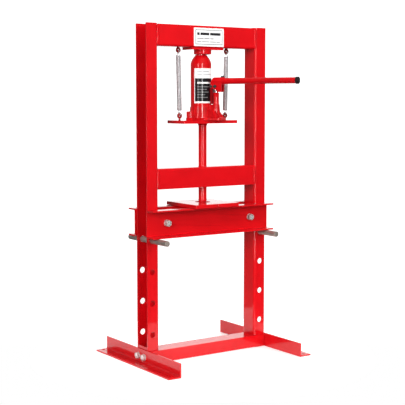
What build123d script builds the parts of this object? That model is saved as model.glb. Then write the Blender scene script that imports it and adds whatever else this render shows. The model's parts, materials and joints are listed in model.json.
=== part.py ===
"""Hydraulic shop press: a welded H frame with a bottle jack that drives a rod down on to a movable table.

Millimetres, +X to the right, +Y to the back, +Z up. The origin is on the floor, under the middle of the rod.
"""
from build123d import *
from math import cos, radians, sin
import os

# Driving dimensions of the frame
HEIGHT = 950
WIDTH = 490
DEPTH = 400
POST_DEPTH = 57
POST_FLANGE = 37.5
POST_OUT = 205
POST_IN = POST_OUT - POST_FLANGE
WALL = 4.5
BEND = 7
BEND_INSIDE = 2.5

# Beams between the posts
BEAM_DEPTH = POST_DEPTH - 1
TOP_BEAM_BOTTOM = 887
TOP_BEAM_TOP = 948
GUIDE_BOTTOM = 491
GUIDE_TOP = 549
BEARING_THICK = 6
CUP_BOTTOM = 869
CUP_R = 25.5
CUP_BORE_R = 21
SLEEVE_R = 17
SLEEVE_BORE_R = 12.5
SLEEVE_LENGTH = 50

# Feet and crossbar: angles
FOOT_HEIGHT = 40
ANGLE_WALL = 4
FOOT_BOLT_Y = 16
FOOT_BOLT_Z = 19
ANCHOR_X = 226
ANCHOR_Y = 190
ANCHOR_R = 5.5
CROSSBAR_TOP = 37
CROSSBAR_BOTTOM = 2
CROSSBAR_FLANGE = 54
BASE_PLATE_HEIGHT = 48

# Support pins and their holes
PIN_X = 188.5
PIN_R = 8
PIN_HOLE_R = 8.5
PIN_PITCH = 88.8
PIN_TOP_HOLE = 349.4
PIN_HOLES = [PIN_TOP_HOLE - PIN_PITCH * step for step in range(4)]
PIN_FRONT = -108
PIN_BACK = 92
PIN_Z = PIN_TOP_HOLE - 0.2

# Table
GAP = 0.3
TABLE_BOTTOM = PIN_Z + PIN_R + GAP
TABLE_HEIGHT = 78.4
TABLE_TOP = TABLE_BOTTOM + TABLE_HEIGHT
TABLE_LENGTH = 418.8
TABLE_FLANGE = 37
TABLE_WEB_Y = POST_DEPTH / 2 + 0.5
TABLE_BOLT_X = 144
TABLE_BOLT_Z = TABLE_BOTTOM + TABLE_HEIGHT / 2
TABLE_BOLT_R = 5
ARBOR_BOTTOM = TABLE_TOP + GAP
ARBOR_THICK = 10
ARBOR_LENGTH = 156
ARBOR_WIDTH = 74
ARBOR_SPLIT = 1
ARBOR_NOTCH_R = 22

# Press plate, rod and springs
PLATE_TOP = 682
PLATE_THICK = 9
PLATE_BOTTOM = PLATE_TOP - PLATE_THICK
PLATE_LENGTH = 186
PLATE_WIDTH = 88
ROD_R = 12
ROD_BOTTOM = 448
COLLAR_R = 14.5
EYE_R = 5
EYE_WIRE_R = 3.2
UPPER_EYE = (83, 879.6)
LOWER_EYE = (79, 695)
EYE_BOLT_R = 3
SPRING_R = 7
SPRING_WIRE = 2
HOOK_R = 4.8

# Bottle jack: its frame has x along the handle (u), y across it (v) and heights measured from the floor
JACK_X = -3.5
JACK_Y = 3
HANDLE_ANGLE = radians(-62)
U = (cos(HANDLE_ANGLE), sin(HANDLE_ANGLE), 0)
V = (-sin(HANDLE_ANGLE), cos(HANDLE_ANGLE), 0)
BASE_BACK = 33
BASE_FRONT = 72
BASE_HALF = 38
NOSE_HALF = 22
FLANGE_TOP = 689
BASE_TOP = 707
COLLAR_TOP = 720
TANK_R = 30
TANK_WALL = 2
TANK_BOTTOM = 703
SHOULDER_BOTTOM = 843
SHOULDER_TOP = 866
NECK_R = 17
FILLER_Z = 826
BOSS_R = 11
CYLINDER_R = 19
CYLINDER_BORE_R = 15
CYLINDER_BOTTOM = 690
CYLINDER_TOP = 855
NUT_TOP = 868
RAM_R = 11.5
RAM_TOP = 872
PISTON_R = 14.7
PISTON_HEIGHT = 14
SADDLE_R = 14
LABEL_BOTTOM = 730.5
LABEL_TOP = 829
LABEL_START = -163
LABEL_ARC = 134

# Pump and handle
PUMP_U = 49
FULCRUM_U = 37
FULCRUM_Z = 778
PUMP_TOP = 760
PUMP_R = 8
PUMP_BOSS_TOP = 728
PUMP_BOSS_R = 13.5
WEB_HALF = 6
LINK_WIDTH = 8
PLUNGER_R = 5.5
LINK_HALF = 5.2
YOKE_GAP = 6
YOKE_HALF = 10
SOCKET_R = 11
SOCKET_Z = 793
SOCKET_BACK = 35
SOCKET_MIDDLE = 60
SOCKET_FRONT = 74
HANDLE_R = 8.8
HANDLE_WALL = 1.5
HANDLE_END = 302.5
CAP_LENGTH = 9
CAP_R = 9.9
LEVER_PIN_R = 3
SCREW_U = 69
SCREW_R = 3
VALVE_U = 18
VALVE_Z = 696
VALVE_R = 4

JACK = Plane(origin=(JACK_X, JACK_Y, 0), x_dir=U, z_dir=(0, 0, 1))
JACK_SIDE = Plane(origin=(JACK_X, JACK_Y, 0), x_dir=U, z_dir=(U[1], -U[0], 0))
JACK_AXIS = Axis((JACK_X, JACK_Y, 0), (0, 0, 1))
SIDES = {"left": -1, "right": 1}


def at(u, v, z):
    """The point at u along the handle, v across it and height z."""
    return (JACK_X + u * U[0] + v * V[0], JACK_Y + u * U[1] + v * V[1], z)


def upright(u, z):
    """A level plane at u along the handle and height z."""
    return Plane(origin=at(u, 0, z), x_dir=U, z_dir=(0, 0, 1))


def across(u, v, z):
    """A plane that faces along v."""
    return Plane(origin=at(u, v, z), x_dir=U, z_dir=V)


def along(u, z):
    """A plane that faces along the handle."""
    return Plane(origin=at(u, 0, z), x_dir=V, z_dir=U)


def block(x_span, y_span, z_span, mode=Mode.ADD):
    """A box between two limits along each axis."""
    spans = (x_span, y_span, z_span)
    with Locations(tuple((low + high) / 2 for low, high in spans)):
        Box(*(high - low for low, high in spans), mode=mode)


def rod(plane, radius, length, mode=Mode.ADD):
    """A cylinder that stands on a plane."""
    with BuildSketch(plane) as profile:
        Circle(radius)
    extrude(profile.sketch, amount=length, mode=mode)


def ring(plane, outer, inner, length):
    """A tube that stands on a plane."""
    with BuildSketch(plane) as profile:
        Circle(outer)
        Circle(inner, mode=Mode.SUBTRACT)
    extrude(profile.sketch, amount=length)


def hexagon(plane, across_flats, height, bore=0):
    """A nut, or a bolt's head when it has no bore, with its outer corners turned off."""
    with BuildSketch(plane) as profile:
        RegularPolygon(across_flats / 2, 6, major_radius=False)
        if bore:
            Circle(bore, mode=Mode.SUBTRACT)
    extrude(profile.sketch, amount=height)


def channel(plane, web, leg, wall, length):
    """A folded C section: the web lies on the plane's x axis and the legs point along its y axis."""
    half = web / 2
    inside = half - wall
    with BuildSketch(plane) as profile:
        with BuildLine():
            Polyline((-half, 0), (half, 0), (half, leg), (inside, leg), (inside, wall),
                     (-inside, wall), (-inside, leg), (-half, leg), close=True)
        make_face()
        fillet(vertices().filter_by_position(Axis.Y, wall - 0.1, wall + 0.1), BEND_INSIDE)
        fillet(vertices().filter_by_position(Axis.Y, -0.1, 0.1), BEND)
    extrude(profile.sketch, amount=length)


def angle_bar(plane, leg_x, leg_y, length):
    """A rolled L section with its heel at the plane's origin."""
    wall = ANGLE_WALL
    with BuildSketch(plane) as profile:
        with BuildLine():
            Polyline((0, 0), (leg_x, 0), (leg_x, wall), (wall, wall), (wall, leg_y), (0, leg_y), close=True)
        make_face()
        inner = vertices().filter_by_position(Axis.X, wall - 0.1, wall + 0.1)
        fillet(inner.filter_by_position(Axis.Y, wall - 0.1, wall + 0.1), wall)
    extrude(profile.sketch, amount=length)


def save(piece, label):
    """Name a finished piece and write its STEP file."""
    piece.part.label = label
    export_step(piece.part, f"parts/{label}.step")


os.makedirs("parts", exist_ok=True)


# ---- Frame ----

def make_post(side):
    """A folded channel, open side outward, with a row of pin holes through both flanges."""
    plane = Plane(origin=(side * POST_IN, 0, 0), x_dir=(0, -side, 0), z_dir=(0, 0, 1))
    with BuildPart() as post:
        channel(plane, POST_DEPTH, POST_FLANGE, WALL, HEIGHT)
        with Locations(*((side * PIN_X, 0, height) for height in PIN_HOLES)):
            Cylinder(PIN_HOLE_R, POST_DEPTH + 2, rotation=(90, 0, 0), mode=Mode.SUBTRACT)
    return post


def make_foot(side):
    """An angle on the floor: its tall leg is bolted to the post and its flat leg points outward."""
    plane = Plane(origin=(side * POST_OUT, side * DEPTH / 2, 0), x_dir=(side, 0, 0), z_dir=(0, -side, 0))
    with BuildPart() as foot:
        angle_bar(plane, WIDTH / 2 - POST_OUT, FOOT_HEIGHT, DEPTH)
        with Locations((side * ANCHOR_X, -ANCHOR_Y, 0), (side * ANCHOR_X, ANCHOR_Y, 0)):
            Cylinder(ANCHOR_R, 3 * ANGLE_WALL, mode=Mode.SUBTRACT)
        with Locations(*((side * POST_OUT, y, FOOT_BOLT_Z) for y in (-FOOT_BOLT_Y, FOOT_BOLT_Y))):
            Cylinder(5.3, 3 * ANGLE_WALL, rotation=(0, 90, 0), mode=Mode.SUBTRACT)
    return foot


for name, side in SIDES.items():
    save(make_post(side), f"post_{name}")
    save(make_foot(side), f"foot_{name}")

with BuildPart() as top_beam:
    channel(Plane(origin=(-POST_IN, 0, TOP_BEAM_BOTTOM), x_dir=(0, 1, 0), z_dir=(1, 0, 0)),
            BEAM_DEPTH, TOP_BEAM_TOP - TOP_BEAM_BOTTOM, WALL, 2 * POST_IN)
    with Locations((-UPPER_EYE[0], 0, TOP_BEAM_BOTTOM), (UPPER_EYE[0], 0, TOP_BEAM_BOTTOM)):
        Cylinder(EYE_BOLT_R + 0.2, 4 * WALL, mode=Mode.SUBTRACT)
save(top_beam, "top_beam")

LABEL_X = (-48.5, 54)
LABEL_Z = (890.5, 942)
LABEL_THICK = 0.6
with BuildPart() as capacity_label:
    block(LABEL_X, (-BEAM_DEPTH / 2 - LABEL_THICK, -BEAM_DEPTH / 2), LABEL_Z)
    fillet(capacity_label.edges().filter_by(Axis.Y), 2)
save(capacity_label, "capacity_label")

with BuildPart() as bearing_plate:
    block((-52, 55), (-BEAM_DEPTH / 2, BEAM_DEPTH / 2), (TOP_BEAM_BOTTOM - BEARING_THICK, TOP_BEAM_BOTTOM))
    chamfer(bearing_plate.edges().filter_by(Axis.Z), 2)
save(bearing_plate, "bearing_plate")

with BuildPart() as ram_cup:
    ring(Plane.XY.offset(CUP_BOTTOM), CUP_R, CUP_BORE_R, TOP_BEAM_BOTTOM - BEARING_THICK - CUP_BOTTOM)
    chamfer(ram_cup.faces().sort_by(Axis.Z)[0].edges(), 0.8)
save(ram_cup, "ram_cup")

with BuildPart() as guide_beam:
    channel(Plane(origin=(-POST_IN, 0, GUIDE_TOP), x_dir=(0, -1, 0), z_dir=(1, 0, 0)),
            BEAM_DEPTH, GUIDE_TOP - GUIDE_BOTTOM, WALL, 2 * POST_IN)
    with Locations((0, 0, GUIDE_TOP)):
        Cylinder(SLEEVE_R, 4 * WALL, mode=Mode.SUBTRACT)
save(guide_beam, "guide_beam")

with BuildPart() as guide_sleeve:
    ring(Plane.XY.offset(GUIDE_TOP - SLEEVE_LENGTH), SLEEVE_R, SLEEVE_BORE_R, SLEEVE_LENGTH)
save(guide_sleeve, "guide_sleeve")

CROSSBAR_FRONT = -POST_DEPTH / 2 - ANGLE_WALL
with BuildPart() as base_crossbar:
    angle_bar(Plane(origin=(POST_OUT, CROSSBAR_FRONT, CROSSBAR_TOP), x_dir=(0, 1, 0), z_dir=(-1, 0, 0)),
              CROSSBAR_FLANGE, CROSSBAR_TOP - CROSSBAR_BOTTOM, 2 * POST_OUT)
    for side in SIDES.values():
        span = sorted((side * POST_IN, side * (POST_OUT + 1)))
        block(span, (-POST_DEPTH / 2, POST_DEPTH), (CROSSBAR_BOTTOM - 1, CROSSBAR_TOP + 1), Mode.SUBTRACT)
save(base_crossbar, "base_crossbar")

with BuildPart() as post_base_plates:
    for side in SIDES.values():
        span = sorted((side * (POST_OUT - WALL), side * POST_OUT))
        block(span, (-POST_DEPTH / 2 + WALL, POST_DEPTH / 2 - WALL), (0, BASE_PLATE_HEIGHT))
    with Locations(*((side * POST_OUT, y, FOOT_BOLT_Z) for side in SIDES.values()
                     for y in (-FOOT_BOLT_Y, FOOT_BOLT_Y))):
        Cylinder(5.3, 3 * WALL, rotation=(0, 90, 0), mode=Mode.SUBTRACT)
save(post_base_plates, "post_base_plates")


def foot_bolt_planes(distance):
    """Planes that face outward at each foot bolt, at a distance from the middle of the press."""
    return [Plane(origin=(side * distance, y, FOOT_BOLT_Z), z_dir=(side, 0, 0))
            for side in SIDES.values() for y in (-FOOT_BOLT_Y, FOOT_BOLT_Y)]


FOOT_BOLT_R = 5
FOOT_BOLT_REACH = 25
FOOT_BOLT_HEAD = 6.4
WASHER = 1.6
FOOT_FACE = POST_OUT + ANGLE_WALL
with BuildPart() as foot_bolts:
    for plane in foot_bolt_planes(FOOT_FACE + WASHER):
        hexagon(plane, 16, FOOT_BOLT_HEAD)
    for plane in foot_bolt_planes(FOOT_FACE + WASHER - FOOT_BOLT_REACH):
        rod(plane, FOOT_BOLT_R, FOOT_BOLT_REACH)
save(foot_bolts, "foot_bolts")

with BuildPart() as foot_washers:
    for plane in foot_bolt_planes(FOOT_FACE):
        ring(plane, 9.5, FOOT_BOLT_R + 0.2, WASHER)
save(foot_washers, "foot_washers")

FOOT_NUT = 8
with BuildPart() as foot_nuts:
    for plane in foot_bolt_planes(POST_OUT - WALL - FOOT_NUT):
        hexagon(plane, 16, FOOT_NUT, FOOT_BOLT_R + 0.05)
save(foot_nuts, "foot_nuts")


# ---- Spring eyes ----

def make_eyes(eye, shank_bottom, shank_top):
    """A pair of round eyes, each with a threaded shank."""
    with BuildPart() as eyes:
        for side in SIDES.values():
            with Locations((side * eye[0], 0, eye[1])):
                Torus(EYE_R, EYE_WIRE_R, rotation=(90, 0, 0))
            rod(Plane(origin=(side * eye[0], 0, shank_bottom)), EYE_BOLT_R, shank_top - shank_bottom)
    return eyes


def make_eye_nuts(x, bottom, height):
    """The nuts on a pair of eyes."""
    with BuildPart() as nuts:
        for side in SIDES.values():
            hexagon(Plane(origin=(side * x, 0, bottom)), 10, height, EYE_BOLT_R + 0.05)
    return nuts


EYE_NUT = 4
UPPER_SHANK_TOP = TOP_BEAM_BOTTOM + WALL + EYE_NUT + 1.5
LOWER_SHANK_BOTTOM = PLATE_BOTTOM + 0.5
save(make_eyes(UPPER_EYE, UPPER_EYE[1] + EYE_R - 1, UPPER_SHANK_TOP), "upper_spring_eyes")
save(make_eye_nuts(UPPER_EYE[0], TOP_BEAM_BOTTOM + WALL, EYE_NUT), "upper_eye_nuts")
save(make_eyes(LOWER_EYE, LOWER_SHANK_BOTTOM, LOWER_EYE[1] - EYE_R + 1), "lower_spring_eyes")


# ---- Return springs ----

HOOK_OFFSET = HOOK_R + SPRING_WIRE / 2 + 0.2


def make_spring(side):
    """A close-wound tension spring as a tube, with a ring at each end through the eyes."""
    low = Vector(side * LOWER_EYE[0], 0, LOWER_EYE[1] + EYE_R + 0.4)
    high = Vector(side * UPPER_EYE[0], 0, UPPER_EYE[1] - EYE_R - 0.4)
    plane = Plane(origin=low, x_dir=(0, 1, 0), z_dir=high - low)
    length = (high - low).length
    with BuildPart(plane) as spring:
        with Locations((0, 0, 0), (0, 0, length)):
            Torus(HOOK_R, SPRING_WIRE / 2, rotation=(90, 0, 0))
        with Locations((0, 0, length / 2)):
            Cylinder(SPRING_R, length - 4 * HOOK_OFFSET + 2 * HOOK_R)
            Cylinder(SPRING_R - SPRING_WIRE, length - 6 * HOOK_OFFSET, mode=Mode.SUBTRACT)
        with Locations((0, 0, HOOK_OFFSET + 1.2), (0, 0, length - HOOK_OFFSET - 1.2)):
            Cylinder(SPRING_WIRE, 4.4)
    return spring


for name, side in SIDES.items():
    save(make_spring(side), f"return_spring_{name}")


# ---- Press plate and rod ----

with BuildPart() as press_plate:
    block((-PLATE_LENGTH / 2, PLATE_LENGTH / 2), (-PLATE_WIDTH / 2, PLATE_WIDTH / 2), (PLATE_BOTTOM, PLATE_TOP))
    fillet(press_plate.edges().filter_by(Axis.Z), 3)
    with Locations((-LOWER_EYE[0], 0, PLATE_TOP), (LOWER_EYE[0], 0, PLATE_TOP)):
        Cylinder(EYE_BOLT_R + 0.2, 4 * PLATE_THICK, mode=Mode.SUBTRACT)
save(press_plate, "press_plate")

with BuildPart() as press_rod:
    rod(Plane.XY.offset(ROD_BOTTOM), ROD_R, PLATE_BOTTOM - ROD_BOTTOM)
    chamfer(press_rod.faces().sort_by(Axis.Z)[0].edges(), 1.2)
save(press_rod, "press_rod")

COLLAR_HEIGHT = 6
with BuildPart() as rod_collar:
    with Locations((0, 0, PLATE_BOTTOM - COLLAR_HEIGHT / 2)):
        Cone(ROD_R + 0.8, COLLAR_R, COLLAR_HEIGHT)
        Cylinder(ROD_R + 0.05, COLLAR_HEIGHT, mode=Mode.SUBTRACT)
save(rod_collar, "rod_collar")


# ---- Bottle jack ----

with BuildPart() as jack_base:
    with BuildSketch(JACK.offset(PLATE_TOP)):
        with BuildLine():
            Polyline((-BASE_BACK, -BASE_HALF), (TANK_R, -BASE_HALF), (BASE_FRONT, -NOSE_HALF),
                     (BASE_FRONT, NOSE_HALF), (TANK_R, BASE_HALF), (-BASE_BACK, BASE_HALF), close=True)
        make_face()
        fillet(vertices(), 11)
    extrude(amount=FLANGE_TOP - PLATE_TOP)
    fillet(jack_base.faces().sort_by(Axis.Z)[-1].edges(), 1.5)
    with BuildSketch(JACK_SIDE):
        with BuildLine():
            Polyline((TANK_R + 1.6, COLLAR_TOP), (0, COLLAR_TOP), (0, FLANGE_TOP - 3),
                     (BASE_HALF - 1, FLANGE_TOP - 3))
            ThreePointArc((BASE_HALF - 1, FLANGE_TOP - 3), (TANK_R + 3.4, BASE_TOP - 3), (TANK_R + 1.6, COLLAR_TOP))
        make_face()
    revolve(axis=JACK_AXIS)
    with BuildSketch(JACK_SIDE):
        with BuildLine():
            Polyline((0, FLANGE_TOP - 3), (BASE_FRONT - 5, FLANGE_TOP - 3),
                     (BASE_FRONT - 6, FLANGE_TOP + 1),
                     (PUMP_U, BASE_TOP + 5), (0, BASE_TOP + 5), close=True)
        make_face()
    extrude(amount=NOSE_HALF - 5, both=True)
    with BuildSketch(JACK_SIDE):
        with Locations((PUMP_U, PUMP_BOSS_TOP - 1.5)):
            Rectangle(PUMP_U - TANK_R + 3, PUMP_BOSS_TOP - FLANGE_TOP - 4, align=(Align.MAX, Align.MAX))
    extrude(amount=WEB_HALF, both=True)
    with Locations(at(PUMP_U, 0, (FLANGE_TOP + PUMP_BOSS_TOP) / 2 - 2)):
        Cone(PUMP_BOSS_R, PUMP_R + 1.5, PUMP_BOSS_TOP - FLANGE_TOP + 4)
    for v in (-BASE_HALF + BOSS_R + 1, BASE_HALF - BOSS_R - 1):
        rod(Plane(origin=at(-BASE_BACK + BOSS_R + 1, v, FLANGE_TOP - 3)), BOSS_R, BASE_TOP - FLANGE_TOP + 3)
    rod(across(VALVE_U, TANK_R, VALVE_Z), BOSS_R - 2, BASE_HALF - TANK_R)
    rod(JACK.offset(TANK_BOTTOM), TANK_R + 0.05, COLLAR_TOP, Mode.SUBTRACT)
    rod(JACK.offset(CYLINDER_BOTTOM), CYLINDER_R + 0.05, COLLAR_TOP, Mode.SUBTRACT)
    rod(upright(PUMP_U, BASE_TOP), PUMP_R + 0.05, COLLAR_TOP, Mode.SUBTRACT)
    rod(upright(PUMP_U, BASE_TOP - 10), PLUNGER_R + 0.1, COLLAR_TOP, Mode.SUBTRACT)
    rod(across(VALVE_U, BASE_HALF - 12, VALVE_Z), VALVE_R + 0.1, 14, Mode.SUBTRACT)
save(jack_base, "jack_base")

with BuildPart() as jack_tank:
    inner = TANK_R - TANK_WALL
    middle = (SHOULDER_BOTTOM + SHOULDER_TOP) / 2
    with BuildSketch(JACK_SIDE):
        with BuildLine():
            Polyline((inner, SHOULDER_BOTTOM), (inner, TANK_BOTTOM), (TANK_R, TANK_BOTTOM),
                     (TANK_R, SHOULDER_BOTTOM))
            ThreePointArc((TANK_R, SHOULDER_BOTTOM), (TANK_R - 4.4, middle), (NECK_R, SHOULDER_TOP))
            Line((NECK_R, SHOULDER_TOP), (NECK_R - TANK_WALL, SHOULDER_TOP))
            ThreePointArc((NECK_R - TANK_WALL, SHOULDER_TOP), (inner - 4.6, middle - 1), (inner, SHOULDER_BOTTOM))
        make_face()
    revolve(axis=JACK_AXIS)
    rod(across(0, TANK_R - 4, FILLER_Z), 3.6, 8, Mode.SUBTRACT)
save(jack_tank, "jack_tank")

with BuildPart() as filler_plug:
    rod(across(0, TANK_R - 3, FILLER_Z), 3.5, 4)
    rod(across(0, TANK_R + 0.6, FILLER_Z), 5.5, 1.8)
    fillet(filler_plug.edges().filter_by(GeomType.CIRCLE).sort_by(SortBy.RADIUS)[-1], 0.6)
save(filler_plug, "filler_plug")

with BuildPart() as jack_cylinder:
    ring(JACK.offset(CYLINDER_BOTTOM), CYLINDER_R, CYLINDER_BORE_R, CYLINDER_TOP - CYLINDER_BOTTOM)
save(jack_cylinder, "jack_cylinder")

with BuildPart() as jack_top_nut:
    skirt = NECK_R - TANK_WALL - 0.1
    rod(JACK.offset(CYLINDER_TOP), skirt, SHOULDER_TOP - CYLINDER_TOP)
    rod(JACK.offset(SHOULDER_TOP), NECK_R - 0.5, NUT_TOP - SHOULDER_TOP)
    rod(JACK.offset(CYLINDER_TOP - 1), RAM_R + 0.1, NUT_TOP, Mode.SUBTRACT)
save(jack_top_nut, "jack_top_nut")

PISTON_BOTTOM = CYLINDER_BOTTOM + 2
SEAL_BOTTOM = PISTON_BOTTOM + 5
SEAL_HEIGHT = 4
SEAL_INNER = 12.6
with BuildPart() as jack_ram:
    rod(JACK.offset(PISTON_BOTTOM), PISTON_R, PISTON_HEIGHT)
    rod(JACK.offset(PISTON_BOTTOM), RAM_R, RAM_TOP - PISTON_BOTTOM)
    with BuildSketch(JACK.offset(SEAL_BOTTOM)):
        Circle(PISTON_R + 1)
        Circle(SEAL_INNER, mode=Mode.SUBTRACT)
    extrude(amount=SEAL_HEIGHT, mode=Mode.SUBTRACT)
save(jack_ram, "jack_ram")

with BuildPart() as piston_seal:
    ring(JACK.offset(SEAL_BOTTOM), PISTON_R, SEAL_INNER + 0.05, SEAL_HEIGHT)
save(piston_seal, "piston_seal")

with BuildPart() as ram_saddle:
    rod(JACK.offset(RAM_TOP), SADDLE_R, TOP_BEAM_BOTTOM - BEARING_THICK - RAM_TOP)
    chamfer(ram_saddle.edges().filter_by(GeomType.CIRCLE), 1)
save(ram_saddle, "ram_saddle")

LABEL_GAP = 0.05
start = radians(LABEL_START)
with BuildPart() as jack_label:
    with BuildSketch(Plane(origin=(JACK_X, JACK_Y, 0), x_dir=(cos(start), sin(start), 0),
                           z_dir=(sin(start), -cos(start), 0))):
        with BuildLine():
            Polyline((TANK_R + LABEL_GAP, LABEL_BOTTOM), (TANK_R + LABEL_GAP + 0.25, LABEL_BOTTOM),
                     (TANK_R + LABEL_GAP + 0.25, LABEL_TOP), (TANK_R + LABEL_GAP, LABEL_TOP), close=True)
        make_face()
    revolve(axis=JACK_AXIS, revolution_arc=LABEL_ARC)
save(jack_label, "jack_label")


# ---- Pump, link and handle ----

with BuildPart() as pump_barrel:
    ring(upright(PUMP_U, BASE_TOP), PUMP_R, PLUNGER_R + 0.1, PUMP_TOP - BASE_TOP - 8)
    hexagon(upright(PUMP_U, PUMP_TOP - 8), 16, 8, PLUNGER_R + 0.1)
save(pump_barrel, "pump_barrel")

LINK_EYE_R = 4.8
with BuildPart() as pump_link:
    with BuildSketch(JACK_SIDE):
        with Locations((FULCRUM_U, FULCRUM_Z)):
            Circle(LINK_EYE_R)
        with Locations((FULCRUM_U - 1, (PUMP_BOSS_TOP + FULCRUM_Z) / 2)):
            Rectangle(LINK_WIDTH, FULCRUM_Z - PUMP_BOSS_TOP)
        with Locations((FULCRUM_U, FULCRUM_Z)):
            Circle(LEVER_PIN_R + 0.1, mode=Mode.SUBTRACT)
    extrude(amount=LINK_HALF, both=True)
save(pump_link, "pump_link")

PLUNGER_EYE_R = 6
with BuildPart() as pump_plunger:
    rod(upright(PUMP_U, BASE_TOP - 8), PLUNGER_R, FULCRUM_Z - BASE_TOP + 4)
    with BuildSketch(JACK_SIDE):
        with Locations((PUMP_U, FULCRUM_Z)):
            Circle(PLUNGER_EYE_R)
    extrude(amount=LINK_HALF, both=True)
    rod(across(PUMP_U, -YOKE_HALF, FULCRUM_Z), LEVER_PIN_R + 0.05, 2 * YOKE_HALF, Mode.SUBTRACT)
save(pump_plunger, "pump_plunger")


def make_lever_pin(u):
    """A cross pin with a flat head at each end."""
    reach = YOKE_HALF + 0.5
    with BuildPart() as pin:
        rod(across(u, -reach, FULCRUM_Z), LEVER_PIN_R, 2 * reach)
        for plane in (across(u, -reach - 1.5, FULCRUM_Z), across(u, reach, FULCRUM_Z)):
            rod(plane, LEVER_PIN_R + 1.5, 1.5)
    return pin


save(make_lever_pin(PUMP_U), "plunger_pin")
save(make_lever_pin(FULCRUM_U), "socket_pin")

SLOT_LENGTH = 3
SLOT_R = LEVER_PIN_R + 0.6
CHEEK_BOTTOM = 762
CHEEK_FRONT = 70
NOTCH_TOP = 786.5
with BuildPart() as handle_socket:
    rod(along(SOCKET_BACK, SOCKET_Z), SOCKET_R, SOCKET_FRONT - SOCKET_BACK)
    with BuildSketch(JACK_SIDE):
        with BuildLine():
            Polyline((FULCRUM_U, FULCRUM_Z - LINK_EYE_R), (PUMP_U + 6, CHEEK_BOTTOM + 6),
                     (PUMP_U + 9, CHEEK_BOTTOM), (CHEEK_FRONT - 3, CHEEK_BOTTOM),
                     (CHEEK_FRONT, CHEEK_BOTTOM + 4), (CHEEK_FRONT, SOCKET_Z),
                     (FULCRUM_U + 4, SOCKET_Z), (FULCRUM_U - LINK_EYE_R, FULCRUM_Z), close=True)
        make_face()
        with Locations((FULCRUM_U, FULCRUM_Z)):
            Circle(LINK_EYE_R)
    extrude(amount=YOKE_HALF, both=True)
    with BuildSketch(JACK_SIDE):
        with BuildLine():
            Polyline((FULCRUM_U - 12, SOCKET_Z - 7), (FULCRUM_U - 2, SOCKET_Z - 7),
                     (FULCRUM_U + 6.4, SOCKET_Z + 12),
                     (FULCRUM_U - 12, SOCKET_Z + 12), close=True)
        make_face()
    extrude(amount=2 * YOKE_HALF, both=True, mode=Mode.SUBTRACT)
    with BuildSketch(JACK_SIDE):
        with BuildLine():
            Polyline((FULCRUM_U - 12, CHEEK_BOTTOM - 9), (CHEEK_FRONT + 1, CHEEK_BOTTOM - 9),
                     (CHEEK_FRONT + 1, SOCKET_Z - SOCKET_R - 1), (SOCKET_MIDDLE, SOCKET_Z - SOCKET_R - 1),
                     (SOCKET_MIDDLE, NOTCH_TOP), (FULCRUM_U - 12, NOTCH_TOP), close=True)
        make_face()
    extrude(amount=YOKE_GAP, both=True, mode=Mode.SUBTRACT)
    rod(along(SOCKET_MIDDLE, SOCKET_Z), HANDLE_R + 0.05, SOCKET_FRONT, Mode.SUBTRACT)
    rod(across(FULCRUM_U, -2 * YOKE_HALF, FULCRUM_Z), LEVER_PIN_R + 0.05, 4 * YOKE_HALF, Mode.SUBTRACT)
    with BuildSketch(JACK_SIDE):
        with Locations((PUMP_U + SLOT_LENGTH / 2 - 1, FULCRUM_Z)):
            SlotCenterToCenter(SLOT_LENGTH, 2 * SLOT_R)
    extrude(amount=2 * YOKE_HALF, both=True, mode=Mode.SUBTRACT)
    rod(Plane(origin=at(SCREW_U, 0, SOCKET_Z)), SCREW_R + 0.05, 2 * SOCKET_R, Mode.SUBTRACT)
save(handle_socket, "handle_socket")

with BuildPart() as socket_screw:
    rod(Plane(origin=at(SCREW_U, 0, SOCKET_Z + HANDLE_R + 0.1)), SCREW_R, SOCKET_R - HANDLE_R)
    rod(Plane(origin=at(SCREW_U, 0, SOCKET_Z + SOCKET_R + 0.1)), SCREW_R + 2, 3.4)
    fillet(socket_screw.faces().sort_by(Axis.Z)[-1].edges(), 1)
save(socket_screw, "socket_screw")

with BuildPart() as handle_tube:
    ring(along(SOCKET_MIDDLE + 0.5, SOCKET_Z), HANDLE_R, HANDLE_R - HANDLE_WALL,
         HANDLE_END - 3 - SOCKET_MIDDLE - 0.5)
save(handle_tube, "handle_tube")

with BuildPart() as handle_cap:
    rod(along(HANDLE_END - CAP_LENGTH, SOCKET_Z), CAP_R, CAP_LENGTH)
    fillet(handle_cap.edges().filter_by(GeomType.CIRCLE), 1.5)
    rod(along(HANDLE_END - CAP_LENGTH - 1, SOCKET_Z), HANDLE_R + 0.05, CAP_LENGTH - 2, Mode.SUBTRACT)
save(handle_cap, "handle_cap")

VALVE_HEAD = 11
with BuildPart() as release_valve:
    rod(across(VALVE_U, BASE_HALF - 10, VALVE_Z), VALVE_R, 11)
    hexagon(across(VALVE_U, BASE_HALF + 0.5, VALVE_Z), 13, VALVE_HEAD)
    with Locations(across(VALVE_U, BASE_HALF + VALVE_HEAD, VALVE_Z).location):
        Box(3, 14, 6, mode=Mode.SUBTRACT)
save(release_valve, "release_valve")


# ---- Table ----

def make_table_channel(face):
    """One of the two channels, back to back outside the posts, with its flanges pointing away."""
    plane = Plane(origin=(-TABLE_LENGTH / 2, face * TABLE_WEB_Y, TABLE_BOLT_Z), x_dir=(0, 0, -face),
                  z_dir=(1, 0, 0))
    with BuildPart() as table_channel:
        channel(plane, TABLE_HEIGHT, TABLE_FLANGE, WALL, TABLE_LENGTH)
        with Locations((-TABLE_BOLT_X, face * TABLE_WEB_Y, TABLE_BOLT_Z),
                       (TABLE_BOLT_X, face * TABLE_WEB_Y, TABLE_BOLT_Z)):
            Cylinder(TABLE_BOLT_R + 0.4, 4 * WALL, rotation=(90, 0, 0), mode=Mode.SUBTRACT)
    return table_channel


save(make_table_channel(-1), "table_channel_front")
save(make_table_channel(1), "table_channel_back")


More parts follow.
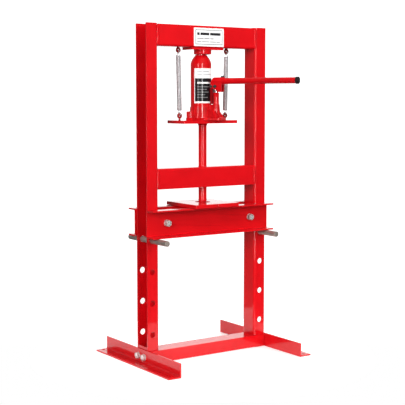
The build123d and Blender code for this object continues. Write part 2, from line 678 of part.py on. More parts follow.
def table_bolt_planes(distance):
    """Planes at the two table bolts that face forward, at a distance in front of the middle."""
    return [Plane(origin=(side * TABLE_BOLT_X, -distance, TABLE_BOLT_Z), z_dir=(0, -1, 0))
            for side in SIDES.values()]


WEB_OUT = TABLE_WEB_Y + WALL
TABLE_WASHER = 2
TABLE_NUT = 8
TABLE_HEAD = 6.4
BOLT_END = WEB_OUT + TABLE_WASHER + TABLE_NUT + 2.5
with BuildPart() as table_bolts:
    for plane in table_bolt_planes(-WEB_OUT - TABLE_WASHER):
        rod(plane, TABLE_BOLT_R, WEB_OUT + TABLE_WASHER + BOLT_END)
    for plane in table_bolt_planes(-WEB_OUT - TABLE_WASHER - TABLE_HEAD):
        hexagon(plane, 16, TABLE_HEAD)
    chamfer(table_bolts.edges().filter_by(GeomType.CIRCLE).group_by(Axis.Y)[0], 1)
save(table_bolts, "table_bolts")

with BuildPart() as table_washers:
    for plane in table_bolt_planes(WEB_OUT) + table_bolt_planes(-WEB_OUT - TABLE_WASHER):
        ring(plane, 9.5, TABLE_BOLT_R + 0.2, TABLE_WASHER)
save(table_washers, "table_washers")

with BuildPart() as table_nuts:
    for plane in table_bolt_planes(WEB_OUT + TABLE_WASHER):
        hexagon(plane, 16, TABLE_NUT, TABLE_BOLT_R + 0.05)
save(table_nuts, "table_nuts")

with BuildPart() as table_spacers:
    for plane in table_bolt_planes(-TABLE_WEB_Y):
        ring(plane, 10, TABLE_BOLT_R + 0.4, 2 * TABLE_WEB_Y)
save(table_spacers, "table_spacers")


def make_support_pin(side):
    """A plain round bar with chamfered ends."""
    with BuildPart() as pin:
        rod(Plane(origin=(side * PIN_X, PIN_FRONT, PIN_Z), z_dir=(0, 1, 0)), PIN_R, PIN_BACK - PIN_FRONT)
        chamfer(pin.edges().filter_by(GeomType.CIRCLE), 1.5)
    return pin


def make_arbor_plate(side):
    """A thick loose plate with a half-round notch that faces its twin."""
    span = sorted((side * ARBOR_SPLIT / 2, side * (ARBOR_SPLIT / 2 + ARBOR_WIDTH)))
    with BuildPart() as plate:
        block(span, (-ARBOR_LENGTH / 2, ARBOR_LENGTH / 2), (ARBOR_BOTTOM, ARBOR_BOTTOM + ARBOR_THICK))
        fillet(plate.edges().filter_by(Axis.Z), 2)
        with Locations((0, 0, ARBOR_BOTTOM)):
            Cylinder(ARBOR_NOTCH_R, 4 * ARBOR_THICK, mode=Mode.SUBTRACT)
        chamfer(plate.faces().sort_by(Axis.Z)[-1].edges(), 0.8)
    return plate


for name, side in SIDES.items():
    save(make_support_pin(side), f"support_pin_{name}")
    save(make_arbor_plate(side), f"arbor_plate_{name}")
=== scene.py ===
"""Looks of the hydraulic shop press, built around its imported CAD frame.
Metres, +Z up, camera at the front left."""
import json
from math import cos, pi, radians, sin, sqrt, tan

import bpy
from mathutils import Matrix, Vector


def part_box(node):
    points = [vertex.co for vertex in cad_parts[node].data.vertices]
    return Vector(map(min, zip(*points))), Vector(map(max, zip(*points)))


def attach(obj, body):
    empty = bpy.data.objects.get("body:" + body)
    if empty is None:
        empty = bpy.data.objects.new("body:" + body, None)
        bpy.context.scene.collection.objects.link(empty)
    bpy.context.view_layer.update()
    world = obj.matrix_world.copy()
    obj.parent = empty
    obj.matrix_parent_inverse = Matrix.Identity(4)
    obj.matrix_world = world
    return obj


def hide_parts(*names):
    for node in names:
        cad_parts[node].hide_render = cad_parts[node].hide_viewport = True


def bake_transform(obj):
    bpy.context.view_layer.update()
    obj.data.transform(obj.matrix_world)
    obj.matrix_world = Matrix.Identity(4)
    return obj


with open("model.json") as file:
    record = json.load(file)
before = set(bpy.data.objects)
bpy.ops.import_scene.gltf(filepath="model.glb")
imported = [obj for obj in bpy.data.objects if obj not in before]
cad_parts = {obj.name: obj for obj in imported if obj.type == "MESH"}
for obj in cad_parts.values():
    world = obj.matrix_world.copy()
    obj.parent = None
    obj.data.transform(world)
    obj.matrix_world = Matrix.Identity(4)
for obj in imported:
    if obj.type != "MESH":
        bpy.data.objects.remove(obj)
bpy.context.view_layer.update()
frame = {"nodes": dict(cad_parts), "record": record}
NODES = frame["nodes"]
MM = 0.001

# Camera: place, heading from +Y towards +X, angle below the horizon, and lens
CAMERA_AT = (-1.6925, -2.4762, 0.7339)
CAMERA_YAW = radians(34.35)
CAMERA_PITCH = radians(5.52)
CAMERA_LENS = 92.45
CAMERA_SENSOR = 36

# Jack axis and tank, as in the frame, and the arc of its sticker in degrees from +X
TANK_LOW, TANK_HIGH = (Vector(corner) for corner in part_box("jack_tank"))
JACK = (TANK_LOW + TANK_HIGH) / 2
TANK_R = (TANK_HIGH.x - TANK_LOW.x) / 2
LABEL_START, LABEL_ARC = -163, 134


# ---- Material helpers ----

class Surface:
    """A material under construction: a Principled shader and short ways to feed it."""

    def __init__(self, name, color, roughness, metallic=0.0, **constants):
        self.material = bpy.data.materials.new(name)
        self.material.use_nodes = True
        self.tree = self.material.node_tree
        self.shader = self.tree.nodes["Principled BSDF"]
        self.shader.inputs["Base Color"].default_value = (*color, 1)
        self.shader.inputs["Roughness"].default_value = roughness
        self.shader.inputs["Metallic"].default_value = metallic
        for socket, value in constants.items():
            self.shader.inputs[socket.replace("_", " ")].default_value = value
        self.place = self.tree.nodes.new("ShaderNodeTexCoord").outputs["Object"]

    def add(self, kind, inputs=(), **settings):
        """A node with its settings made and its inputs filled with values or linked to sockets."""
        node = self.tree.nodes.new("ShaderNode" + kind)
        for key, value in settings.items():
            setattr(node, key, value)
        for key, value in dict(inputs).items():
            if isinstance(value, bpy.types.NodeSocket):
                self.tree.links.new(value, node.inputs[key])
            else:
                node.inputs[key].default_value = value
        return node

    def math(self, operation, *values):
        """The result of a Math node."""
        return self.add("Math", enumerate(values), operation=operation).outputs[0]

    def noise(self, scale, detail=3.0, stretch=(1, 1, 1), rough=0.5):
        """A noise pattern, scale in cells per metre."""
        mapped = self.add("Mapping", {"Vector": self.place, "Scale": stretch})
        return self.add("TexNoise", {"Vector": mapped.outputs[0], "Scale": scale, "Detail": detail,
                                     "Roughness": rough}).outputs["Fac"]

    def spread(self, source, low, high, start=0.3, end=0.7):
        """A pattern's values moved to the range low to high."""
        return self.add("MapRange", {"Value": source, "From Min": start, "From Max": end, "To Min": low,
                                     "To Max": high}).outputs["Result"]

    def mix(self, factor, first, second):
        """A colour between two others."""
        node = self.add("Mix", {"Factor": factor}, data_type="RGBA")
        for socket, value in ((node.inputs[6], first), (node.inputs[7], second)):
            if isinstance(value, bpy.types.NodeSocket):
                self.tree.links.new(value, socket)
            else:
                socket.default_value = (*value, 1)
        return node.outputs[2]

    def feed(self, socket, source):
        """Links a result to the shader."""
        self.tree.links.new(source, self.shader.inputs[socket])

    def bump(self, *heights):
        """Relief from (pattern, depth in metres) pairs."""
        normal = None
        for source, depth in heights:
            inputs = {"Height": source, "Distance": depth, "Strength": 1.0}
            if normal:
                inputs["Normal"] = normal
            normal = self.add("Bump", inputs).outputs["Normal"]
        self.feed("Normal", normal)


# ---- Materials ----

def paint(name, color, deep):
    """Thick glossy enamel: orange peel and slight changes of tone and gloss under a clear coat."""
    surface = Surface(name, color, 0.4, Coat_Weight=1.0, Coat_Roughness=0.05, Coat_IOR=1.38,
                      Specular_IOR_Level=0.08)
    clouds = surface.noise(14, 4)
    surface.feed("Base Color", surface.mix(surface.spread(clouds, 0, 1), color, deep))
    surface.feed("Roughness", surface.spread(surface.noise(60, 5), 0.34, 0.46))
    surface.bump((surface.noise(240, 2), 0.00007), (surface.noise(45, 2), 0.00015))
    return surface.material


def cast_enamel(name, color, deep):
    """The same enamel over a rough sand casting: lumps and shallow upright flutes, with painted shade
    darkening the flute hollows.
    """
    surface = Surface(name, color, 0.4, Coat_Weight=1.0, Coat_Roughness=0.09, Coat_IOR=1.4,
                      Specular_IOR_Level=0.1)
    lumps = surface.noise(170, 3)
    flutes = surface.noise(120, 2, (1, 1, 0.22))
    # Base colour goes to the darker red in the low parts of the flutes: painted shade in the hollows
    surface.feed("Base Color", surface.mix(surface.spread(flutes, 0, 1, 0.35, 0.65), deep, color))
    surface.feed("Roughness", surface.spread(lumps, 0.34, 0.5))
    surface.bump((flutes, 0.0011), (lumps, 0.0005))
    return surface.material


def turned_steel(name, color, axis, roughness=0.32):
    """Bar turned on a lathe: fine rings across the axis and faint darker stains."""
    surface = Surface(name, color, roughness, metallic=0.6)
    along = [1, 1, 1]
    along["XYZ".index(axis)] = 60
    rings = surface.noise(40, 2, tuple(along))
    stains = surface.noise(35, 5)
    darker = tuple(channel * 0.62 for channel in color)
    surface.feed("Base Color", surface.mix(surface.spread(stains, 0, 1), color, darker))
    surface.feed("Roughness", surface.spread(rings, roughness - 0.08, roughness + 0.14))
    surface.bump((rings, 0.00005), (stains, 0.00008))
    return surface.material


def zinc():
    """Bright zinc plating: crystalline patches, fine pitting."""
    surface = Surface("zinc_plate", (0.78, 0.79, 0.8), 0.25, metallic=0.6)
    patches = surface.add("TexVoronoi", {"Vector": surface.place, "Scale": 420}).outputs["Color"]
    surface.feed("Base Color", surface.mix(surface.spread(surface.noise(90), 0, 1),
                                           (0.80, 0.78, 0.76), (0.62, 0.60, 0.58)))
    surface.feed("Roughness", surface.spread(patches, 0.2, 0.36, 0, 1))
    surface.bump((surface.noise(900, 2), 0.00003))
    return surface.material


def spring_wire():
    """Drawn wire: grey and finely grained, with darker patches."""
    surface = Surface("spring_wire", (0.6, 0.6, 0.61), 0.3, metallic=0.4)
    patches = surface.noise(50, 4)
    surface.feed("Base Color", surface.mix(surface.spread(patches, 0, 1),
                                           (0.62, 0.62, 0.63), (0.46, 0.46, 0.47)))
    surface.feed("Roughness", surface.spread(surface.noise(300), 0.22, 0.42))
    surface.bump((surface.noise(1500, 2), 0.00002))
    return surface.material


def black_steel():
    """Oiled black oxide: dark, half metallic, with small paler rubbed patches."""
    surface = Surface("black_steel", (0.05, 0.05, 0.05), 0.4, metallic=0.7)
    rubbed = surface.noise(120, 5)
    surface.feed("Base Color", surface.mix(surface.spread(rubbed, 0, 1, 0.5, 0.75), (0.045, 0.044, 0.045),
                                           (0.14, 0.13, 0.13)))
    surface.feed("Roughness", surface.spread(surface.noise(400, 2), 0.3, 0.5))
    surface.bump((surface.noise(700, 2), 0.00002))
    return surface.material


def chrome():
    """Ground and polished ram: a grey mirror with faint grinding rings."""
    surface = Surface("polished_ram", (0.50, 0.50, 0.52), 0.14, metallic=1.0)
    rings = surface.noise(30, 2, (1, 1, 90))
    surface.feed("Roughness", surface.spread(rings, 0.05, 0.14))
    surface.bump((rings, 0.00001))
    return surface.material


def rubber():
    """Moulded rubber: matt, finely grained, dusty in the hollows."""
    surface = Surface("black_rubber", (0.008, 0.008, 0.008), 0.6, Specular_IOR_Level=0.15)
    grain = surface.noise(1400, 3)
    surface.feed("Base Color", surface.mix(surface.spread(surface.noise(60), 0, 1),
                                           (0.005, 0.005, 0.005), (0.013, 0.012, 0.012)))
    surface.feed("Roughness", surface.spread(grain, 0.5, 0.72))
    surface.bump((grain, 0.00008))
    return surface.material


def bars(surface, across, up, shapes):
    """A mask that is 1 inside any of the given (centre, half width, centre height, half height) bars."""
    mask = None
    for centre, half, height, half_height in shapes:
        inside = surface.math("MULTIPLY", surface.math("COMPARE", across, centre, half),
                              surface.math("COMPARE", up, height, half_height))
        mask = surface.math("MAXIMUM", mask, inside) if mask else inside
    return mask


def text_rows(left, right, top, pitch, lengths, half):
    """Bars like lines of print, each as long as its share of the width."""
    shapes = []
    for row, share in enumerate(lengths):
        length = (right - left) * share
        shapes.append((left + length / 2, length / 2, top - row * pitch, half))
    return shapes


def words(left, height, lengths, gap, half):
    """A line of plain blocks like words, measured in millimetres from a left end and a height in metres."""
    shapes = []
    for length in lengths:
        shapes.append((left + length * MM / 2, length * MM / 2, height, half * MM))
        left += (length + gap) * MM
    return shapes


def front_label():
    """White sticker with a thin frame and plain dark blocks in lines."""
    low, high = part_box("capacity_label")
    surface = Surface("front_sticker", (0.86, 0.86, 0.86), 0.25, Coat_Weight=0.6, Coat_Roughness=0.1)
    split = surface.add("SeparateXYZ", {"Vector": surface.place})
    across, up = split.outputs["X"], split.outputs["Z"]
    middle, height = (low[0] + high[0]) / 2, (low[2] + high[2]) / 2
    wide, tall = (high[0] - low[0]) / 2, (high[2] - low[2]) / 2
    edge, line = 5 * MM, 1.8 * MM
    outer = bars(surface, across, up, [(middle, wide - edge, height, tall - edge)])
    inner = bars(surface, across, up, [(middle, wide - edge - line, height, tall - edge - line)])
    border = surface.math("SUBTRACT", outer, inner)
    left = low[0] + 11 * MM
    title = bars(surface, across, up, words(left, height + 9 * MM, (8, 30, 36), 3, 3.6))
    rows = bars(surface, across, up, words(left, height - 4 * MM, (22, 18, 12), 2, 1.3)
                + words(left, height - 13 * MM, (14, 26, 20, 12), 2, 1.1))
    dark = surface.math("MAXIMUM", title, surface.math("MULTIPLY", border, 0.8))
    print_mask = surface.math("MAXIMUM", dark, surface.math("MULTIPLY", rows, 0.75))
    paper = surface.mix(surface.spread(surface.noise(40, 3), 0, 1), (0.86, 0.86, 0.86), (0.8, 0.8, 0.79))
    surface.feed("Base Color", surface.mix(print_mask, paper, (0.02, 0.02, 0.022)))
    surface.feed("Roughness", surface.spread(surface.noise(500, 2), 0.22, 0.34))
    surface.bump((print_mask, 0.00003), (surface.noise(160, 2), 0.00004))
    return surface.material


def jack_sticker():
    """Wrap-round sticker: a white band over a black field with a white margin and plain bars."""
    low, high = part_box("jack_label")
    surface = Surface("jack_sticker", (0.03, 0.03, 0.03), 0.4, Coat_Weight=0.8, Coat_Roughness=0.03,
                      Coat_IOR=1.4, Specular_IOR_Level=0.1)
    split = surface.add("SeparateXYZ", {"Vector": surface.place})
    up = split.outputs["Z"]
    turn = surface.math("ARCTAN2", surface.math("SUBTRACT", split.outputs["Y"], JACK.y),
                        surface.math("SUBTRACT", split.outputs["X"], JACK.x))
    start, end = radians(LABEL_START), radians(LABEL_START + LABEL_ARC)
    side, foot = 2.5 * MM / TANK_R, 5 * MM
    field_top = high[2] - 28 * MM
    field = (field_top + low[2] + foot) / 2
    half_field = (field_top - low[2] - foot) / 2
    middle, half = (start + end) / 2, (end - start) / 2
    black = bars(surface, turn, up, [(middle, half - side, field, half_field)])
    left, right = start + 4 * side, end - 4 * side
    title = bars(surface, turn, up, text_rows(left, right, field_top - 13 * MM, 9 * MM, (0.86,), 2.4 * MM))
    pale = bars(surface, turn, up, text_rows(left, right, field_top - 24 * MM, 7.5 * MM,
                                             (0.8, 0.55, 0.7, 0.45, 0.62), 0.9 * MM))
    grey = bars(surface, turn, up, text_rows(left, right, high[2] - 9 * MM, 8 * MM, (0.7, 0.9), 1.6 * MM))
    white = surface.mix(surface.spread(surface.noise(40), 0, 1), (0.84, 0.84, 0.84), (0.76, 0.76, 0.75))
    color = surface.mix(grey, white, (0.42, 0.42, 0.43))
    color = surface.mix(black, color, (0.006, 0.006, 0.007))
    color = surface.mix(title, color, (0.7, 0.7, 0.69))
    color = surface.mix(pale, color, (0.2, 0.2, 0.2))
    surface.feed("Base Color", color)
    surface.feed("Roughness", surface.spread(surface.noise(500, 2), 0.36, 0.48))
    surface.bump((surface.noise(160, 2), 0.00004))
    return surface.material


RED = paint("red_enamel", (0.60, 0.0025, 0.006), (0.52, 0.002, 0.005))
JACK_RED = paint("jack_enamel", (0.56, 0.002, 0.005), (0.45, 0.002, 0.004))
# The casting's second, darker red is painted shade for the flute hollows
CAST_RED = cast_enamel("cast_enamel", (0.60, 0.002, 0.005), (0.36, 0.001, 0.003))
# Darker red for the pump link and the spring eyes: painted shade for the shadow these parts sit in, not their
# own paint colour
PAINTED_SHADE_RED = paint("painted_shade_enamel", (0.30, 0.002, 0.004), (0.16, 0.001, 0.002))
STEEL_UP = turned_steel("turned_steel", (0.50, 0.46, 0.43), "Z")
STEEL_BACK = turned_steel("turned_pin", (0.42, 0.36, 0.32), "Y")
ZINC = zinc()
WIRE = spring_wire()
CHROME = chrome()
BLACK = black_steel()
RUBBER = rubber()
FRONT_LABEL = front_label()
JACK_LABEL = jack_sticker()

LOOKS = {
    "red_paint": RED, "jack_paint": JACK_RED, "machined_steel": STEEL_UP, "spring_steel": WIRE, "zinc": ZINC,
    "black_steel": BLACK, "ram_chrome": CHROME, "black_rubber": RUBBER, "white_label": FRONT_LABEL,
    "black_label": JACK_LABEL,
}


def dress(node, material):
    """Gives a CAD node its material."""
    data = NODES[node].data
    data.materials.clear()
    data.materials.append(material)


for entry in frame["record"]["subparts"]:
    dress(entry["node"], LOOKS[entry["material_slot"]])
for node in ("support_pin_left", "support_pin_right"):
    dress(node, STEEL_BACK)
# The pump link and both spring eyes take the darker red, which is painted shade
for node in ("pump_link", "upper_spring_eyes", "lower_spring_eyes"):
    dress(node, PAINTED_SHADE_RED)
dress("jack_base", CAST_RED)


# ---- Rolled and broken edges on the CAD nodes ----

SHARP_ANGLE = radians(38)
WELD_DISTANCE = 0.01 * MM
EDGE_ROUND = {
    "post_left": 0.5, "post_right": 0.5, "top_beam": 0.5, "guide_beam": 0.5, "base_crossbar": 0.6,
    "foot_left": 0.6, "foot_right": 0.6, "table_channel_front": 0.5, "table_channel_back": 0.5,
    "press_plate": 0.6, "bearing_plate": 0.6, "post_base_plates": 0.4, "handle_socket": 0.4, "pump_link": 0.4,
}


def soften(node, width):
    """Rounds a node's sharp edges by a width in millimetres, and keeps its flats flat."""
    obj = NODES[node]
    weld = obj.modifiers.new("weld", "WELD")
    weld.merge_threshold = WELD_DISTANCE
    bevel = obj.modifiers.new("bevel", "BEVEL")
    bevel.width = width * MM
    bevel.segments = 2
    bevel.limit_method = "ANGLE"
    bevel.angle_limit = SHARP_ANGLE
    bevel.harden_normals = False
    flat = obj.modifiers.new("normals", "WEIGHTED_NORMAL")
    flat.keep_sharp = False
    flat.weight = 90


for node, width in EDGE_ROUND.items():
    soften(node, width)


# ---- Mesh helpers ----

def mesh_piece(name, points, faces, material, smooth=True):
    """An object made of points and faces, with one material."""
    data = bpy.data.meshes.new(name)
    data.from_pydata(points, [], faces)
    data.validate()
    data.materials.append(material)
    for face in data.polygons:
        face.use_smooth = smooth
    obj = bpy.data.objects.new(name, data)
    bpy.context.scene.collection.objects.link(obj)
    return obj


def place(piece, body, slot, *replaced):
    """Attaches a piece to its body and hides the nodes it stands for. The slot is not used."""
    if replaced:
        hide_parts(*replaced)
    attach(piece, body)


def grid_faces(rows, columns, offset=0, wrap=True):
    """Quads between consecutive rows of points."""
    faces = []
    span = columns if wrap else columns - 1
    for row in range(rows - 1):
        for column in range(span):
            following = (column + 1) % columns
            first = offset + row * columns
            second = first + columns
            faces.append((first + column, first + following, second + following, second + column))
    return faces


def sweep(path, radius, sides=10):
    """Points and faces of a round wire along a path, capped at both ends."""
    points, normal = [], None
    count = len(path)
    for index, here in enumerate(path):
        before, after = path[max(index - 1, 0)], path[min(index + 1, count - 1)]
        tangent = (after - before).normalized()
        if normal is None:
            normal = tangent.orthogonal().normalized()
        normal = (normal - tangent * normal.dot(tangent)).normalized()
        side = tangent.cross(normal)
        for step in range(sides):
            turn = 2 * pi * step / sides
            points.append(here + radius * (cos(turn) * normal + sin(turn) * side))
    faces = grid_faces(count, sides)
    faces.append(tuple(reversed(range(sides))))
    last = (count - 1) * sides
    faces.append(tuple(range(last, last + sides)))
    return points, faces


def lathe(rings, sides=48):
    """Points and faces of closed (radius, height) rings; either may be a function of the angle."""
    points = []
    for radius, height in rings:
        for step in range(sides):
            turn = 2 * pi * step / sides
            r = radius(turn) if callable(radius) else radius
            z = height(turn) if callable(height) else height
            points.append(Vector((r * cos(turn), r * sin(turn), z)))
    faces = grid_faces(len(rings), sides)
    faces.append(tuple(reversed(range(sides))))
    last = (len(rings) - 1) * sides
    faces.append(tuple(range(last, last + sides)))
    return points, faces


def combined(parts):
    """Several (points, faces, matrix) sets as one."""
    points, faces = [], []
    for some_points, some_faces, matrix in parts:
        offset = len(points)
        points += [matrix @ Vector(point) for point in some_points]
        faces += [tuple(index + offset for index in face) for face in some_faces]
    return points, faces


def facing(point, direction):
    """The matrix that stands local +Z on a point, towards a direction."""
    turn = Vector(direction).to_track_quat("Z", "Y").to_matrix().to_4x4()
    return Matrix.Translation(point) @ turn


# ---- Return springs ----

WIRE_R = 1.02 * MM
COIL_R = 5.95 * MM
HOOK_R = 4.8 * MM
COIL_PITCH = 2.1 * MM
LOWER_EYE_X, UPPER_EYE_X = 79 * MM, 83 * MM
TURN_STEPS = 20
HOOK_TURN = radians(290)
HOOK_STEPS = 22
NECK_RISE = 4.6 * MM
NECK_STEPS = 5


def spring_path(low, high):
    """A close-wound coil with a full hook at each end, along +Z from low to high."""
    length = (high - low).length
    rise = HOOK_R + NECK_RISE
    bottom, top = rise, length - rise
    turns = round((top - bottom) / COIL_PITCH)
    path = []
    for step in range(HOOK_STEPS):
        turn = -HOOK_TURN * (1 - step / (HOOK_STEPS - 1))
        path.append(Vector((0, HOOK_R * cos(turn), HOOK_R * sin(turn))))
    for step in range(1, NECK_STEPS):
        share = step / NECK_STEPS
        path.append(Vector((0, HOOK_R + (COIL_R - HOOK_R) * share, (bottom - WIRE_R) * share)))
    for step in range(turns * TURN_STEPS + 1):
        turn = 2 * pi * step / TURN_STEPS
        height = bottom + (top - bottom) * step / (turns * TURN_STEPS)
        path.append(Vector((COIL_R * sin(turn), COIL_R * cos(turn), height)))
    for step in range(1, NECK_STEPS):
        share = step / NECK_STEPS
        path.append(Vector((0, COIL_R + (HOOK_R - COIL_R) * share, top + WIRE_R + (length - top) * share)))
    for step in range(HOOK_STEPS):
        turn = HOOK_TURN * step / (HOOK_STEPS - 1)
        path.append(Vector((0, HOOK_R * cos(turn), length + HOOK_R * sin(turn))))
    return path


def add_spring(side, name):
    """One return spring between the lower and the upper eye."""
    node = f"return_spring_{name}"
    box_low, box_high = (Vector(corner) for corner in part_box(node))
    low = Vector((side * LOWER_EYE_X, 0, box_low.z + HOOK_R + WIRE_R))
    high = Vector((side * UPPER_EYE_X, 0, box_high.z - HOOK_R - WIRE_R))
    points, faces = sweep(spring_path(low, high), WIRE_R, 8)
    upright = Matrix.Translation(low) @ (high - low).to_track_quat("Z", "X").to_matrix().to_4x4()
    points = [upright @ point for point in points]
    piece = mesh_piece(f"spring_coil_{name}", points, faces, WIRE)
    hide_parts(node)
    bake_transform(piece)


add_spring(-1, "left")
add_spring(1, "right")


# ---- Weld beads ----

# Weld beads: distance between rows, points across, thickness and depth in the metal in metres, then width,
# height, gap to the beam's edge and length of a ripple in millimetres
BEAD_STEP = 0.45 * MM
BEAD_COLUMNS = 11
BEAD_THICK = 0.35 * MM
BEAD_SUNK = 0.25 * MM
BEAD_WIDTH, BEAD_HEIGHT, BEAD_GAP, RIPPLE = 7.5, 2.2, 3, 2.2


def bead(start, end, out, width, height):
    """Points and faces of one weld bead on a surface: a low rounded ridge with curved ripples."""
    start, end, out = Vector(start), Vector(end), Vector(out).normalized()
    along = (end - start).normalized()
    side = along.cross(out)
    length = (end - start).length
    rows = max(int(length / BEAD_STEP), 8)
    columns = BEAD_COLUMNS
    points = []
    for row in range(rows + 1):
        distance = length * row / rows
        from_end = min(distance, length - distance) / (width * 0.9)
        taper = sqrt(max(0.0, 1 - (1 - min(from_end, 1)) ** 2))
        wander = 1 + 0.10 * sin(distance / MM * 0.61 + start.x * 90) + 0.06 * sin(distance / MM * 0.23)
        for column in range(columns):
            across = -1 + 2 * column / (columns - 1)
            curve = sqrt(max(0.0, 1 - across * across))
            phase = distance / (RIPPLE * MM) + 0.55 * across * across
            wave = 0.86 + 0.14 * abs(sin(pi * phase))
            points.append(start + along * distance
                          + side * across * width / 2 * wander * (0.35 + 0.65 * taper)
                          + out * (height * curve * wave * taper - BEAD_SUNK))
    faces = grid_faces(rows + 1, columns, wrap=False)
    underside = len(points)
    points += [point - out * BEAD_THICK for point in points]
    faces += [tuple(index + underside for index in reversed(face)) for face in faces]
    rim = [row * columns for row in range(rows + 1)]
    rim += [rows * columns + column for column in range(1, columns)]
    rim += [row * columns + columns - 1 for row in range(rows - 1, -1, -1)]
    rim += [column for column in range(columns - 2, 0, -1)]
    for index, here in enumerate(rim):
        following = rim[(index + 1) % len(rim)]
        faces.append((following, here, here + underside, following + underside))
    return points, faces


def add_beads(name, runs, body="frame"):
    """A group of weld beads, each (start, end, outward direction, width, height) in millimetres."""
    parts = []
    for start, end, out, width, height in runs:
        points, faces = bead(Vector(start) * MM, Vector(end) * MM, out, width * MM, height * MM)
        parts.append((points, faces, Matrix.Identity(4)))
    points, faces = combined(parts)
    place(mesh_piece(name, points, faces, RED), body, "red_paint")


def beam_runs(node):
    """Beads where a beam meets both posts, front and back."""
    low, high = (Vector(corner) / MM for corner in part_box(node))
    runs = []
    for x in (low.x, high.x):
        for y, out in ((low.y, -1), (high.y, 1)):
            face = y + out * 0.2
            runs.append(((x, face, low.z + BEAD_GAP), (x, face, high.z - BEAD_GAP), (0, out, 0),
                         BEAD_WIDTH, BEAD_HEIGHT))
    return runs


add_beads("welds_top_beam", beam_runs("top_beam"))
add_beads("welds_guide_beam", beam_runs("guide_beam"))


# ---- Fasteners ----

# FACE_SHARE is a turned face's part of the width over flats, THREAD_DEPTH a thread's depth in pitches
FACE_SHARE = 0.96
CORNER_SLOPE = radians(30)
THREAD_PITCH = 1.5 * MM
THREAD_DEPTH = 0.55
TIP_LENGTH = 1.2 * MM
CRISP_ANGLE = radians(25)


def hexagon_radius(flats):
    """Radius of a hexagon at an angle."""
    def radius(turn):
        part = (turn + pi / 6) % (pi / 3) - pi / 6
        return flats / 2 / cos(part)
    return radius


def hexagon_rings(flats, height, both=True):
    """Rings of a nut or bolt head whose corners are turned off."""
    radius = hexagon_radius(flats)
    slope = tan(CORNER_SLOPE)

    def top(turn):
        return height - (radius(turn) - flats / 2) * slope

    def bottom(turn):
        return (radius(turn) - flats / 2) * slope

    face = flats / 2 * FACE_SHARE
    return [(face, 0), (radius, bottom if both else 0), (radius, top), (face, height)]


def thread_rings(radius, length, pitch=THREAD_PITCH):
    """Rings of a threaded end with a chamfered tip."""
    rings = []
    depth = pitch * THREAD_DEPTH
    steps = int(length / (pitch / 6))
    for step in range(steps + 1):
        height = length * step / steps
        tip = min(1.0, (length - height) / TIP_LENGTH)

        def wave(turn, height=height, tip=tip):
            phase = (height / pitch - turn / (2 * pi)) % 1
            return (radius - depth * (1 - abs(2 * phase - 1))) * (0.86 + 0.14 * tip)
        rings.append((wave, height))
    return rings


def add_fasteners(name, node, rings, spots, body, sides=48):
    """Copies of a turned shape at (point, direction) spots, as one piece for a CAD node."""
    points, faces = lathe(rings, sides)
    parts = [(points, faces, facing(point, direction)) for point, direction in spots]
    piece = mesh_piece(name, *combined(parts), ZINC)
    crisp(piece, CRISP_ANGLE)
    place(piece, body, "zinc", *node)


def crisp(piece, angle):
    """Keeps a mesh's edges sharp where its faces turn by more than an angle."""
    with bpy.context.temp_override(object=piece, active_object=piece, selected_editable_objects=[piece],
                                   selected_objects=[piece]):
        bpy.ops.object.shade_smooth_by_angle(angle=angle)


def bolt_rings(flats, head, radius, reach, thread):
    """Rings of a hexagon bolt from the face of its head to the tip of its thread."""
    rings = hexagon_rings(flats, head, both=False)
    rings = [(ring, head - height if not callable(height) else lambda turn, h=height: head - h(turn))
             for ring, height in reversed(rings)]
    rings += [(radius, head), (radius, reach - thread)]
    return rings + [(ring, reach - thread + height) for ring, height in thread_rings(radius, thread)]


BOLT_FLATS, BOLT_R, BOLT_HEAD, NUT_HEIGHT = 16 * MM, 5 * MM, 6.4 * MM, 8 * MM
FOOT_BOLT_LENGTH = 25 * MM
TABLE_THREAD, FOOT_THREAD = 16 * MM, 13 * MM
THREAD_SIDES = 48


def add_table_fasteners():
    """The two long bolts through the table, heads at the front and nuts at the back."""
    low, high = (Vector(corner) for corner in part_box("table_bolts"))
    nut_low, nut_high = (Vector(corner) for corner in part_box("table_nuts"))
    middle, height = (high.x - BOLT_FLATS / 2), (low.z + high.z) / 2
    rings = bolt_rings(BOLT_FLATS, BOLT_HEAD, BOLT_R, high.y - low.y, TABLE_THREAD)
    bolts = [((side * middle, low.y, height), (0, 1, 0)) for side in (-1, 1)]
    nuts = [((side * middle, nut_low.y, height), (0, 1, 0)) for side in (-1, 1)]
    add_fasteners("table_bolt_pair", ["table_bolts"], rings, bolts, "table", THREAD_SIDES)
    nut_rings = hexagon_rings(BOLT_FLATS, nut_high.y - nut_low.y)
    add_fasteners("table_nut_pair", ["table_nuts"], nut_rings, nuts, "table", THREAD_SIDES)


def add_foot_fasteners():
    """The four bolts that hold the feet, heads outside and nuts inside the posts."""
    low, high = (Vector(corner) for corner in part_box("foot_bolts"))
    nut_high = Vector(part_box("foot_nuts")[1])
    across, height = high.y - BOLT_FLATS / 2, (low.z + high.z) / 2
    rings = bolt_rings(BOLT_FLATS, BOLT_HEAD, BOLT_R, BOLT_HEAD + FOOT_BOLT_LENGTH, FOOT_THREAD)
    spots = [(side, depth) for side in (-1, 1) for depth in (-across, across)]
    bolts = [((side * high.x, depth, height), (-side, 0, 0)) for side, depth in spots]
    nuts = [((side * nut_high.x, depth, height), (-side, 0, 0)) for side, depth in spots]
    add_fasteners("foot_bolt_set", ["foot_bolts"], rings, bolts, "frame", THREAD_SIDES)
    add_fasteners("foot_nut_set", ["foot_nuts"], hexagon_rings(BOLT_FLATS, NUT_HEIGHT), nuts, "frame",
                  THREAD_SIDES)


add_table_fasteners()
add_foot_fasteners()


# ---- Floor, light and camera ----

FLOOR_SIDES, FLOOR_RADIUS, FLOOR_HEIGHT = 96, 0.5, -0.0004

# Brightness of the surroundings: part of the direction from, to, brightness from, to
BACK_RAMP = (-0.1, 0.6, 0.02, 0.32)
RIGHT_RAMP = (-0.1, 0.35, 0.6, 4.2)
GROUND_RAMP = (-0.5, -0.12, 0.1, 1.0)
CEILING_RAMP = (0.35, 0.95, 0.0, 0.3)

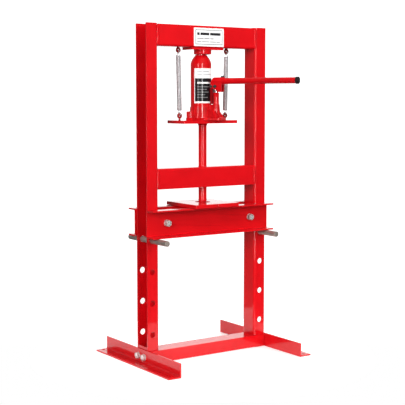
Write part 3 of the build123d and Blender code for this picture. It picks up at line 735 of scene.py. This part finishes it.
# Area lights: name, angle, distance, height, width, tall, watts, aim above the light's own height
STRIPS = (("strip_front", -110.5, 2.4, 0.9, 0.30, 2.0, 42, 0.0),
          ("strip_left", -155, 2.4, 0.9, 0.22, 2.0, 18, 0.0))
FILLS = (("fill_front", -80, 3.6, 1.5, 2.2, 2.2, 104, -0.6),
         ("fill_left", -152, 3.2, 1.4, 1.6, 1.6, 95, -0.5),
         ("fill_right", -5, 3.2, 1.2, 2.0, 2.0, 50, -0.4),
         ("fill_back", 80, 3.4, 1.3, 2.4, 2.4, 85, -0.5),
         ("fill_top", -100, 1.4, 2.6, 1.6, 1.6, 25, -1.7))


def floor():
    """A plain pale disc of floor."""
    turns = [2 * pi * step / FLOOR_SIDES for step in range(FLOOR_SIDES)]
    points = [(FLOOR_RADIUS * cos(turn), FLOOR_RADIUS * sin(turn), FLOOR_HEIGHT) for turn in turns]
    surface = Surface("studio_floor", (0.93, 0.93, 0.93), 0.6, Emission_Color=(1, 1, 1, 1),
                      Emission_Strength=0.3)
    surface.feed("Roughness", surface.spread(surface.noise(8), 0.55, 0.65))
    mesh_piece("floor", points, [tuple(range(FLOOR_SIDES))], surface.material, smooth=False)


def softbox(name, angle, distance, height, width, tall, power, tilt):
    """An area light at an angle from +X towards +Y, aimed at the axis by tilt above its own height."""
    data = bpy.data.lights.new(name, "AREA")
    data.shape = "RECTANGLE"
    data.size = width
    data.size_y = tall
    data.energy = power
    obj = bpy.data.objects.new(name, data)
    turn = radians(angle)
    spot = Vector((distance * cos(turn), distance * sin(turn), height))
    target = Vector((0, 0, height + tilt))
    obj.location = spot
    obj.rotation_mode = "QUATERNION"
    obj.rotation_quaternion = (target - spot).to_track_quat("-Z", "Y")
    bpy.context.scene.collection.objects.link(obj)
    return obj


def studio():
    """The world, the strips and the fills.

    The world is white to the camera only. Other rays find it bright behind and at the right, and dark in
    front and below. The strips light only the gloss, and the fills are hidden from it.
    """
    world = bpy.data.worlds.new("studio")
    bpy.context.scene.world = world
    world.use_nodes = True
    tree = world.node_tree
    background = tree.nodes["Background"]

    def ramp(source, start, end, low, high):
        """A value carried linearly from one range to another."""
        node = tree.nodes.new("ShaderNodeMapRange")
        for key, value in {"From Min": start, "From Max": end, "To Min": low, "To Max": high}.items():
            node.inputs[key].default_value = value
        tree.links.new(source, node.inputs["Value"])
        return node.outputs[0]

    def merge(operation, first, second):
        """Two values through a Math node."""
        node = tree.nodes.new("ShaderNodeMath")
        node.operation = operation
        tree.links.new(first, node.inputs[0])
        tree.links.new(second, node.inputs[1])
        return node.outputs[0]

    coordinates = tree.nodes.new("ShaderNodeTexCoord")
    split = tree.nodes.new("ShaderNodeSeparateXYZ")
    tree.links.new(coordinates.outputs["Generated"], split.inputs[0])
    wall = merge("MULTIPLY", ramp(split.outputs["Y"], *BACK_RAMP), ramp(split.outputs["X"], *RIGHT_RAMP))
    above_ground = ramp(split.outputs["Z"], *GROUND_RAMP)
    ceiling = ramp(split.outputs["Z"], *CEILING_RAMP)
    room = merge("MAXIMUM", merge("MULTIPLY", wall, above_ground), ceiling)
    path = tree.nodes.new("ShaderNodeLightPath")
    tree.links.new(merge("MAXIMUM", path.outputs["Is Camera Ray"], room), background.inputs["Strength"])
    background.inputs["Color"].default_value = (1, 1, 1, 1)
    for strip in STRIPS:
        softbox(*strip).visible_diffuse = False
    for fill in FILLS:
        softbox(*fill).visible_glossy = False



def camera():
    """The camera at the front left, looking slightly down."""
    data = bpy.data.cameras.new("camera")
    data.lens = CAMERA_LENS
    data.sensor_width = CAMERA_SENSOR
    obj = bpy.data.objects.new("camera", data)
    obj.location = CAMERA_AT
    obj.rotation_euler = (pi / 2 - CAMERA_PITCH, 0, -CAMERA_YAW)
    bpy.context.scene.collection.objects.link(obj)
    bpy.context.scene.camera = obj


floor()
studio()
camera()
bpy.context.scene.view_settings.view_transform = "Standard"
